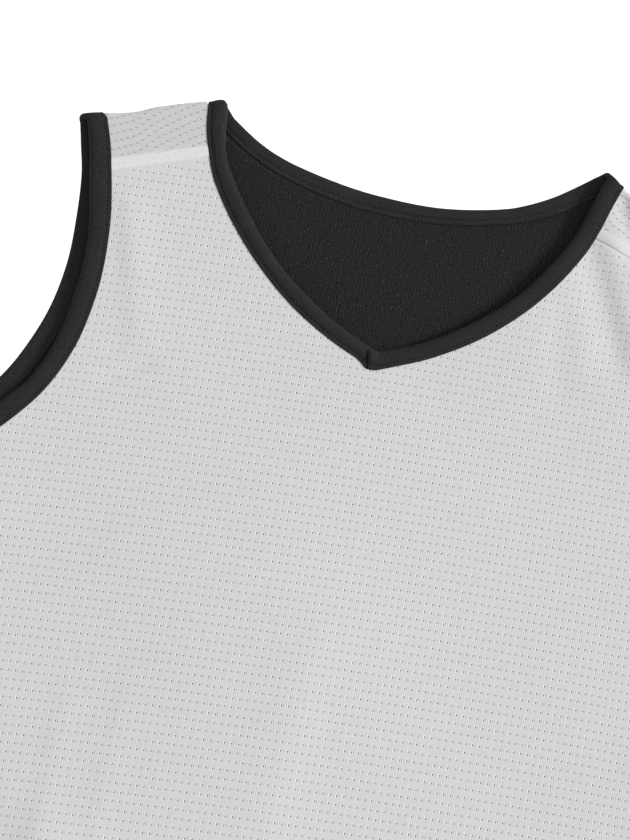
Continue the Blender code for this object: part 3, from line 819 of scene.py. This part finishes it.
def lining_knit():
    """Black circular-knit polyester mesh: short upright loops in a close broken grid, half a
    column apart, get a painted highlight, and the hole beside each gets painted shade."""
    material, tree, shader = new_finish("polyester_mesh_black_lining", 0.85)
    add = partial(add_node, tree)
    coords = add("ShaderNodeUVMap", uv_map="knit")
    moved = swayed(tree, coords, 330.0, (3.0, 4.0))
    cell = in_cell(tree, moved, (COLUMN / 2, ROW / 2))
    loop = spot(tree, cell, (-0.35, 0.0), (0.2, 0.62), slant=0.3, soft=0.4)
    hole = spot(tree, cell, (0.25, 0.2), (0.24, 0.55), slant=0.3, soft=0.4)
    noise, grain = (add("ShaderNodeTexNoise", {"Vector": coords, "Scale": scale, "Detail": 2.0})
                    for scale in (600.0, 900.0))
    uneven = add("ShaderNodeMapRange", {"Value": noise, "From Min": 0.38, "From Max": 0.62})
    # Painted highlight on the loops, broken up by noise; the holes get painted shade
    broken = add("ShaderNodeMath", (loop, uneven), operation="MULTIPLY")
    tone = summed(tree, 0.24, ((broken, 2.0), (hole, -0.6), (grain, 1.1)))
    dress(tree, shader, "262626", tone, summed(tree, 0.0, ((loop, 0.08), (grain, 0.1))), 0.8)
    return material


def rib_knit():
    """Black cotton and polyester rib knit, folded over the edge: fine ribs run across the
    band, with a painted highlight on their backs, and a slightly hairy matt surface. The
    stitches pull in a row of dimples at the foot of the roll, which get painted shade,
    and on the inside of the neck they leave a close row of dots and a broken row of
    looper threads."""
    material, tree, shader = new_finish("rib_knit_black_binding", 0.9)
    add = partial(add_node, tree)
    coords = add("ShaderNodeUVMap", uv_map="band")
    stretched = add("ShaderNodeVectorMath", (coords, (1.0, 0.45, 1.0)), operation="MULTIPLY")
    rib = add("ShaderNodeTexWave", {"Vector": coords, "Scale": waves(0.9), "Distortion": 1.2,
                                    "Detail": 1.0})
    grain, patchy, uneven = (
        add("ShaderNodeTexNoise", {"Vector": place, "Scale": scale, "Detail": detail})
        for place, scale, detail in ((stretched, 1400.0, 2.0), (coords, 60.0, 2.0),
                                     (coords, 450.0, 1.0)))
    pull, dots, loops = (
        spot(tree, in_cell(tree, place, (pitch, MARK_CELL)), (0.0, reach), half)
        for place, pitch, reach, half in (
            (coords, BINDING_STITCH[3], PULL_REACH - MARK_CELL / 2, (0.35, 0.5)),
            (coords, DOTS[0], MARK_CELL / 2 - DOTS[1], (0.4, 0.25)),
            (swayed(tree, coords, 300.0, (2.0, 2.0)), LOOPS[0], MARK_CELL / 2 - LOOPS[1],
             (0.42, 0.95))))
    broken = add("ShaderNodeMath", (loops, uneven), operation="MULTIPLY")
    # Painted light: the ribs' backs get a painted highlight, and the pulled dimples painted shade
    tone = summed(tree, -0.25, ((rib, 0.3), (grain, 1.3), (patchy, 0.3), (pull, -0.35),
                                (dots, -0.4), (broken, -0.75)))
    relief = summed(tree, 0.0, ((rib, 0.05), (grain, 0.09), (pull, -0.15)))
    dress(tree, shader, "323232", tone, relief, 0.7)
    return material


def sewing_thread(name, colour):
    """Spun polyester sewing thread: a faint twist and a soft shine."""
    material, tree, shader = new_finish(name, 0.55)
    coords = add_node(tree, "ShaderNodeTexCoord").outputs["Object"]
    grain = add_node(tree, "ShaderNodeTexNoise", {"Vector": coords, "Scale": 2500.0})
    dress(tree, shader, colour, summed(tree, 0.75, ((grain, 0.5),)),
          summed(tree, 0.0, ((grain, 0.05),)), 0.5)
    return material


# From the slot's floor, round the lip, to the foot of the roll: a distance on the section
PULL_REACH = 1.3 + 0.3 + 2.45
MARK_CELL = 60.0                 # more than a section's length, so that a mark comes once
DOTS, LOOPS = (1.6, 2.45), (2.0, 3.8)   # their pitch, and how far back from the slot they lie
# Soft edges of a shoulder seam's plain strip: where it starts, where its backing starts, and
# where both end
SEAM_EDGES = ((-1.8, -1.0), (-0.4, 0.6), (SEAM_BAND + 1.5, SEAM_BAND - 0.9))

# The last number is the strength of the painted highlight on the eyelets' loops
LIGHT_KNIT = mesh_knit("polyester_mesh_light_front", "d4d4d4", 0.32)
# The back's copy is darker, partly as painted shade for its strips that slope away from the lamp
# over the shoulders and partly for the knit running the other way there; its loops' painted
# highlight is weaker
LIGHT_KNIT_BACK_SHADED = mesh_knit("polyester_mesh_light_back_shaded", "cbcbcb", 0.1)
LINING_KNIT = lining_knit()
RIB = rib_knit()
BLACK_THREAD = sewing_thread("polyester_thread_black", "363636")
ARM_THREAD = sewing_thread("polyester_thread_black_fine", "282828")
LIGHT_THREAD = sewing_thread("polyester_thread_light", "dadada")


# ---- Plies

def front_maps(flat):
    """The front's knit coordinates, its distance above the seam, and how the seam shows."""
    x, y = flat.T
    return {"knit": np.column_stack((x, y - bow(x))),
            "trim": np.column_stack((seam_height(x, y), np.zeros_like(x)))}


def back_maps(flat, level):
    """The back's knit coordinates, its distance above the seam, and how the seam shows."""
    radius = SHOULDER_RADIUS - level
    above = np.full(len(flat), 4 * SEAM_BAND)
    for side in (-1, 1):
        run, beyond, sunk = by_fold(flat * (side, 1.0), side)
        beyond = beyond + sunk
        plan = from_fold(side, run, -((beyond - pi * radius) / STRIP_EASE + sunk))
        chosen = (flat[:, 0] * side >= 0.0) & (beyond > 0.0)
        height = seam_height(side * plan[:, 0], plan[:, 1])
        above[chosen] = np.minimum(height, 4 * SEAM_BAND)[chosen]
    shows = np.where(flat[:, 0] < 0.0, SEAM_SHOW[-1], SEAM_SHOW[1])
    return {"knit": flat, "trim": np.column_stack((above, shows))}


def guide_lines(width):
    """Lines that cloth turns round: along the hem and down both side seams."""
    lines = []
    for share in (0.0, 0.25, 0.5, 0.75, 1.0):
        x = np.linspace(-width, width, 150)
        lines.append((x, np.full_like(x, -LENGTH + HEM_RADIUS * (1.0 - share * pi))))
    for side in (-1, 1):
        for share in (0.0, 0.2, 0.4, 0.6, 0.8):
            y = np.linspace(ARM_FRONT[0][1], hem_reach(), 120)
            lines.append((np.full_like(y, side * (SIDE_AXIS + share * (width - SIDE_AXIS))), y))
    return [np.transpose(line) for line in lines]


def seam_rows(side, distances):
    """Loose points in rows along a front shoulder seam, x measured outwards."""
    neck, along = seam_line(side)
    line = neck + np.outer(np.arange(*SEAM_REACH), along)
    up = np.array((-along[1], along[0]))
    return np.vstack([line + up * distance for distance in distances])


def off_eyelets(points, centres):
    """The loose points that keep clear of every eyelet."""
    return np.array([point for point in points
                     if not np.all(np.abs(centres - point) <= EYELET_CLEAR, axis=1).any()])


def both(make):
    """Points of both sides, from the ones that make gives for x measured outwards."""
    return np.vstack([make(side) * (side, 1.0) for side in (-1, 1)])


def make_ply(name, on_front, is_outer, material):
    """A ply, and its pattern's outline.

    An outer ply has its eyelets open, its hem turned up, and curls round to the side seams.
    A back one comes over the shoulders to the seams on the front.
    """
    if is_outer:
        level, width, hem = OUTER_LEVEL, side_reach(OUTER_LEVEL), hem_reach()
    else:
        level, width, hem = LINING_LEVEL, SIDE_AXIS - GAP, LINING_HEM - LENGTH
    if on_front:
        outline = whole_outline(lambda side: front_half(side, width, hem))
        bands = [within(both(lambda side: seam_rows(side, BELOW_SEAM)), outline, SEAM_MARGIN)]
        maps, placed = front_maps, front_place
    else:
        radius = SHOULDER_RADIUS - level
        outline = whole_outline(lambda side: back_half(side, width, hem, level))
        net = grid((ROLL_REACH[0], -ROLL_EDGE), (ROLL_REACH[1], pi * radius + ROLL_EDGE), ROLL_NET)
        rows = both(lambda side: unroll(seam_rows(side, ABOVE_SEAM), side, radius))
        bands = [within(both(lambda side: from_fold(side, *net.T)), outline, ROLL_MARGIN),
                 within(rows, outline, SEAM_MARGIN)]
        maps, placed = partial(back_maps, level=level), back_place

    def clear(points):
        """The points that keep far enough from the shoulder seams."""
        above = maps(points)["trim"][:, 0] * (-1.0 if on_front else 1.0)
        return points[above > SEAM_CLEAR[on_front, is_outer]]

    centres, lines = np.zeros((0, 2)), []
    if is_outer:
        centres = grid(*NET, (COLUMN, ROW))
        if on_front:
            centres[:, 1] += bow(centres[:, 0])
        x, y = centres.T
        centres = centres[(np.abs(x) < SIDE_AXIS - EYELET_MARGIN) & (y > HEM_CLEAR - LENGTH)]
        centres = clear(within(centres, outline, EYELET_MARGIN))
        bands = [off_eyelets(band, centres) for band in bands]
        loose = grid((-LOOSE_REACH, hem), (LOOSE_REACH, -LENGTH - 2), HEM_NET)
        loose, lines = within(loose, outline, LOOSE_MARGIN), guide_lines(width)
    else:
        loose = grid((-LOOSE_REACH, hem), (LOOSE_REACH, NET[1][1]), LINING_NET)
        loose = clear(within(loose, outline, LOOSE_MARGIN))
    extra = np.vstack((*bands, loose) if on_front else (loose, *bands))
    return cut_cloth(name, outline, centres, extra, lines, partial(placed, level=level), maps,
                     material, 1 if on_front else -1), outline


# ---- Bindings

def half_ring(front_name, back_name, side):
    """A binding's two edges, up the front, over the shoulder and down the back."""
    laid = []
    out = fold_out(side)
    inwards = np.array((-out[1], out[0])) * (1.0 if front_name == "neck_front" else -1.0)
    shape = ROLL_SHAPE[front_name][side]
    for front, back, sink, move in zip(edge_pair(front_name, side), edge_pair(back_name, side),
                                       shape[::2], shape[1::2]):
        share = np.arange(1, ROLL_STEPS)[:, None] / ROLL_STEPS
        plan = front[-1] + (back[-1] - front[-1]) * share ** ROLL_SPREAD
        plan += (inwards * move - out * sink) * np.sin(pi * share)
        laid.append(np.vstack((lay(front, side), lay(plan, side, pi * share[:, 0], out, LOFT),
                               lay(back[::-1], side, pi, height=LOFT))))
    return laid


def arm_ring(side):
    """The armhole binding's two edges, all the way round."""
    laid = []
    for whole in half_ring("arm_front", "arm_back", side):
        share = np.arange(1, ROLL_STEPS)[::-1, None] / ROLL_STEPS
        first, last = whole[[0, -1], :2] * (side, 1.0)
        under = lay(first + (last - first) * share, side, pi * share[:, 0], (1.0, 0.0), 0.0)
        laid.append(np.vstack((whole, under)))
    return laid


def neck_strand():
    """The neck binding's two edges as one strand that laps at the V.

    It starts left of the centre on top, runs round the neck and ends right of the
    centre underneath. Also gives how far each cross-section is moved down, and how much
    it is squeezed.
    """
    right, left = (half_ring("neck_front", "neck_back", side) for side in (1, -1))
    steps = np.arange(len(left[0])) * BINDING_STEP
    outwards = (left[0] - left[1])[:, :2]
    outwards /= np.linalg.norm(outwards, axis=1)[:, None]
    swell = VEE_SWELL[2] * np.exp(-((steps - VEE_SWELL[0]) / VEE_SWELL[1]) ** 2)
    left[0][:, :2] += outwards * swell[:, None]
    under = round(TUCK_UNDER / BINDING_STEP)
    share = np.linspace(1.0, 0.0, LAP_ROWS, endpoint=False)[:, None]
    laid = [np.vstack((lay(a[0, :2] + share * reach), a, b[-2::-1], a[1:under + 1]))
            for a, b, reach in zip(right, left, LAP)]
    middle = (laid[0] + laid[1])[:, :2] / 2
    from_top = lengths_along(middle)
    from_end = (len(middle) - 1 - np.arange(len(middle))) * BINDING_STEP
    raised = ease((LAP_FLAT + LAP_FADE - from_top) / LAP_FADE)
    raised *= 1.0 - LAP_END[0] * (1.0 - ease(from_top / LAP_END[1]))
    buried = ease((TUCK_UNDER + sum(TUCK_DOWN) - from_end) / TUCK_DOWN[1])
    squeeze = (1.0 - SQUEEZED[0] * raised) * (1.0 - SQUEEZED[1] * buried)
    squeeze[[0, -1]] *= ENDS_LEFT
    return laid, -LAP_RAISE * raised + TUCK_SINK * buried, squeeze


def section_points(edge, free, share, offset, level, shift=0.0, squeeze=1.0, fuller=0.0):
    """Points of one line of a binding's cross-section, for every section.

    fuller is how much higher its free edge stands.
    """
    width = np.linalg.norm((free - edge)[:, :2], axis=1)
    facing = np.maximum(np.cos(edge[:, 2]), 0.0)
    level = np.where(level < 0.0, (level - fuller * share ** 2) * facing, level)
    part = LAP_AT_FLANGE + (1.0 - LAP_AT_FLANGE) * min(2.0 * share, 1.0)
    level = TUCK + (level - TUCK) * (1.0 + (squeeze - 1.0) * part) + shift * part
    low, high = points_at(edge, level), points_at(free, level)
    return low + (high - low) * (share + offset / width)[:, None]


def make_binding(name, laid, closed, shift=0.0, squeeze=1.0, fuller=0.0):
    """Folded rib band through its cross-sections, and its length.

    On an open band, the inner half is measured back from the slot, for its stitch marks.
    """
    edge, free = laid
    points = np.stack([section_points(edge, free, *row, shift, squeeze, fuller)
                       for row in BINDING_SECTION], 1)
    count, around = points.shape[:2]
    middle = points.mean(1)
    ends = np.vstack((middle, middle[:1])) if closed else middle
    run = np.concatenate(([0.0], np.cumsum(np.linalg.norm(np.diff(ends, axis=0), axis=1))))
    girth = np.linalg.norm(np.roll(points[0], -1, axis=0) - points[0], axis=1)
    girth = np.concatenate(([0.0], np.cumsum(girth)))
    place = np.arange(around)
    back = np.where((place < FREE_POINT) | closed, 0.0, girth[-2])
    near, far = girth[:-1] - back, girth[1:] - back
    row = np.arange(count if closed else count - 1)[:, None]
    here, after, beside = row * around, (row + 1) % count * around, (place + 1) % around
    faces = np.stack((here + place, here + beside, after + beside, after + place), -1)
    faces = faces.reshape(-1, 4).tolist()
    spots = np.stack([np.stack(np.broadcast_arrays(run[row + step], reach), -1)
                      for step, reach in ((0, near), (0, far), (1, far), (1, near))], 2)
    spots = spots.reshape(-1, 2).tolist()
    if not closed:
        faces += [tuple(range(around))[::-1], tuple(range((count - 1) * around, count * around))]
        spots += [(0.0, reach) for reach in girth[:-1]][::-1]
        spots += [(run[-1], reach) for reach in girth[:-1]]
    mesh = bpy.data.meshes.new(name)
    mesh.from_pydata(to_metres(points.reshape(-1, 3)).tolist(), [], faces)
    layer = mesh.uv_layers.new(name="band")
    layer.uv.foreach_set("vector", (np.array(spots) * METRE).astype(np.float32).ravel())
    mesh.shade_smooth()
    mesh.set_sharp_from_angle(angle=radians(60.0))
    obj = add_object(name, mesh, RIB)
    if volume(mesh) < 0.0:
        mesh.flip_normals()
    return obj, run[-1]


def volume(mesh):
    """Signed volume inside a closed mesh."""
    mesh.calc_loop_triangles()
    corners = np.array([[mesh.vertices[i].co for i in face.vertices]
                        for face in mesh.loop_triangles])
    return float(np.einsum("ij,ij->", corners[:, 0], np.cross(corners[:, 1], corners[:, 2]))) / 6


# ---- Thread

def stitch_tree():
    """Node tree that lays one stitch after another along a row of points."""
    tree = bpy.data.node_groups.new("stitch_row", "GeometryNodeTree")
    for label, kind, way in (("Geometry", "NodeSocketGeometry", "INPUT"),
                             ("Pitch", "NodeSocketFloat", "INPUT"),
                             ("Stitch", "NodeSocketVector", "INPUT"),
                             ("Thread", "NodeSocketMaterial", "INPUT"),
                             ("Geometry", "NodeSocketGeometry", "OUTPUT")):
        tree.interface.new_socket(label, in_out=way, socket_type=kind)
    add = partial(add_node, tree)
    given = add("NodeGroupInput").outputs
    curve = add("GeometryNodeMeshToCurve", (given["Geometry"],))
    spaced = add("GeometryNodeResampleCurve", {"Curve": curve, "Length": given["Pitch"]},
                 mode="LENGTH")
    up = add("GeometryNodeInputNamedAttribute", ("up",), data_type="FLOAT_VECTOR")
    turned = add("FunctionNodeAxesToRotation", (up, add("GeometryNodeInputTangent")),
                 primary_axis="Z", secondary_axis="X")
    ball = add("GeometryNodeMeshUVSphere", {"Segments": 6, "Rings": 4, "Radius": 0.5})
    smooth = add("GeometryNodeSetShadeSmooth", (ball,))
    laid = add("GeometryNodeInstanceOnPoints", {
        "Points": spaced, "Instance": smooth, "Rotation": turned, "Scale": given["Stitch"]})
    finished = add("GeometryNodeSetMaterial", {
        "Geometry": add("GeometryNodeRealizeInstances", (laid,)), "Material": given["Thread"]})
    add("NodeGroupOutput", (finished,))
    return tree


def sew(name, rows, stitch, thread):
    """Stitches along rows of places. Each row is its points and the way up at each one."""
    mesh = bpy.data.meshes.new(name)
    points = np.vstack([to_metres(row) for row, _ in rows])
    edges, start = [], 0
    for row, _ in rows:
        edges += [(i, i + 1) for i in range(start, start + len(row) - 1)]
        start += len(row)
    mesh.from_pydata(points.tolist(), edges, [])
    up = mesh.attributes.new("up", "FLOAT_VECTOR", "POINT")
    up.data.foreach_set("vector", np.vstack([up for _, up in rows]).astype(np.float32).ravel())
    guide = add_object(name + "_rows", mesh, thread)
    modifier = guide.modifiers.new("stitches", "NODES")
    modifier.node_group = STITCH_TREE
    given = {"Pitch": stitch[3] * METRE, "Stitch": [size * METRE for size in stitch[:3]],
             "Thread": thread}
    for socket in STITCH_TREE.interface.items_tree:
        if socket.in_out == "INPUT" and socket.name in given:
            modifier[socket.identifier] = given[socket.name]
    bpy.context.view_layer.update()
    made = guide.evaluated_get(bpy.context.evaluated_depsgraph_get())
    sewn = bpy.data.meshes.new_from_object(made)
    sewn.name = name
    bpy.data.objects.remove(guide)
    return add_object(name, sewn, thread)


def band_rows(laid, shift=0.0, squeeze=1.0):
    """Rows of places on a binding's flange, where it faces up, and the way out of it."""
    rows = []
    turn = laid[0][:, 2]
    for level, chosen in zip(THREAD_LEVELS, (turn < pi / 2, turn > pi / 2)):
        outer, inner = (section_points(*laid, 0.0, FLANGE_ROW, at, shift, squeeze)
                        for at in (level, TUCK))
        up = outer - inner
        up /= np.linalg.norm(up, axis=1)[:, None]
        stretches = np.split(np.arange(len(chosen)), np.flatnonzero(np.diff(chosen)) + 1)
        rows += [(outer[run], up[run]) for run in stretches if chosen[run[0]]]
    return rows


def hem_rows(back):
    """Two rows of places above the hem, on the front or on the back."""
    end, pitch = HEM_ROW
    x = np.arange(end - SIDE_AXIS, SIDE_AXIS - end, pitch)
    up = np.tile((0.0, 0.0, -1.0 if back else 1.0), (len(x), 1))
    placed = back_place if back else front_place
    return [(placed(np.column_stack((x, np.full_like(x, height - LENGTH))), HEM_ROW_LEVEL), up)
            for height in HEM_NEEDLES]


STITCH_TREE = stitch_tree()

front, front_cut = make_ply("front_mesh", True, True, LIGHT_KNIT)
back, back_cut = make_ply("back_mesh", False, True, LIGHT_KNIT_BACK_SHADED)
front_lining, front_lining_cut = make_ply("front_mesh_lining", True, False, LINING_KNIT)
back_lining, back_lining_cut = make_ply("back_mesh_lining", False, False, LINING_KNIT)
for ply in (front_lining, back_lining):      # closed into thin shells
    shell = ply.modifiers.new("ply", "SOLIDIFY")
    shell.thickness, shell.offset = LINING_THICKNESS * METRE, 0.0
    shell.use_even_offset = True
strand, *lap = neck_strand()
neck_band, neck_length = make_binding("neck_rib_band", strand, False, *lap)
neck_thread = sew("neck_stitches", band_rows(strand, *lap), BINDING_STITCH, BLACK_THREAD)
arm_bands, arm_threads, arm_lengths = {}, {}, {}
for side, word in ((-1, "left"), (1, "right")):
    ring = arm_ring(side)
    arm_bands[side], arm_lengths[side] = make_binding(
        "armhole_rib_band_" + word, ring, True, fuller=ARM_FULLER)
    arm_threads[side] = sew("armhole_stitches_" + word, band_rows(ring), BINDING_STITCH,
                            ARM_THREAD)
front_hem = sew("front_hem_stitches", hem_rows(False), HEM_STITCH, LIGHT_THREAD)
back_hem = sew("back_hem_stitches", hem_rows(True), HEM_STITCH, LIGHT_THREAD)


# ---- Stage, light and camera

def make_stage():
    """Plain pale floor that the jersey lies on."""
    mesh = bpy.data.meshes.new("floor")
    mesh.from_pydata([(-3, -3, 0), (3, -3, 0), (3, 3, 0), (-3, 3, 0)], [], [(0, 1, 2, 3)])
    material, _, shader = new_finish("matt_white_floor", 0.9)
    shader.inputs["Base Color"].default_value = srgb("9c9c9c")
    shader.inputs["Emission Color"].default_value = srgb("ffffff")
    shader.inputs["Emission Strength"].default_value = 1.0
    floor = add_object("floor", mesh, material)
    floor.location.z = -0.0002


def make_light():
    """Soft daylight all round, and one low soft lamp from the right."""
    world = bpy.data.worlds.new("studio")
    world.use_nodes = True
    background = world.node_tree.nodes["Background"]
    background.inputs["Color"].default_value = (1.0, 1.0, 1.0, 1.0)
    background.inputs["Strength"].default_value = 0.55
    bpy.context.scene.world = world
    lamp = bpy.data.lights.new("softbox", "SUN")
    lamp.angle = 0.3
    lamp.energy = 3.1
    holder = add_object("softbox", lamp)
    azimuth, elevation = radians(15.0), radians(26.0)
    toward_lamp = Vector((cos(elevation) * cos(azimuth), cos(elevation) * sin(azimuth),
                          sin(elevation)))
    holder.rotation_euler = (-toward_lamp).to_track_quat("-Z", "Y").to_euler()


def make_camera():
    """Camera above the chest, a little turned and leaning back."""
    camera = bpy.data.cameras.new("camera")
    camera.lens = 64.29
    camera.sensor_width = 36.0
    camera.clip_start, camera.clip_end = 0.05, 20.0
    holder = add_object("camera", camera)
    back_z = (CAMERA_PLACE - CAMERA_AIM).normalized()
    right = CAMERA_UP.cross(back_z).normalized()
    up = back_z.cross(right)
    holder.matrix_world = Matrix.Translation(CAMERA_PLACE) @ Matrix(
        (right, up, back_z)).transposed().to_4x4()
    bpy.context.scene.camera = holder


CAMERA_PLACE = Vector((-0.0524, 0.09925, 0.7882))
CAMERA_AIM = Vector((-0.0256, 0.22465, 0.0063))
CAMERA_UP = Vector((-0.18505, 0.97129, 0.14950))

make_stage()
make_light()
make_camera()
bpy.context.scene.view_settings.view_transform = "Standard"


def cut_size(outline):
    """Width, length and area in metres of a flat pattern."""
    size = (outline.max(0) - outline.min(0)) * METRE
    x, y = (outline * METRE).T
    area = abs(x @ np.roll(y, -1) - y @ np.roll(x, -1)) / 2
    return tuple(float(value) for value in size), float(area)


def band_size(length):
    """Width and length in metres of a folded binding laid straight."""
    return BAND_FLAT_WIDTH * METRE, float(length) * METRE


PIECES = (
    (front, "front_panel", "outer_mesh", *cut_size(front_cut), front_lining, (front_hem,)),
    (back, "back_panel", "outer_mesh", *cut_size(back_cut), None, (back_hem,)),
    (front_lining, "front_lining", "inner_mesh", *cut_size(front_lining_cut), back_lining, ()),
    (back_lining, "back_lining", "inner_mesh", *cut_size(back_lining_cut), back, ()),
    (neck_band, "neck_binding", "rib", band_size(neck_length), None, back_lining, (neck_thread,)),
    (arm_bands[-1], "armhole_binding_left", "rib", band_size(arm_lengths[-1]), None, back_lining,
     (arm_threads[-1],)),
    (arm_bands[1], "armhole_binding_right", "rib", band_size(arm_lengths[1]), None, back_lining,
     (arm_threads[1],)),
)
for piece, node, slot, size, area, below, sewing in PIECES:
    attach(piece, "root")
    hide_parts(node)
    for rows in sewing:
        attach(rows, "root")
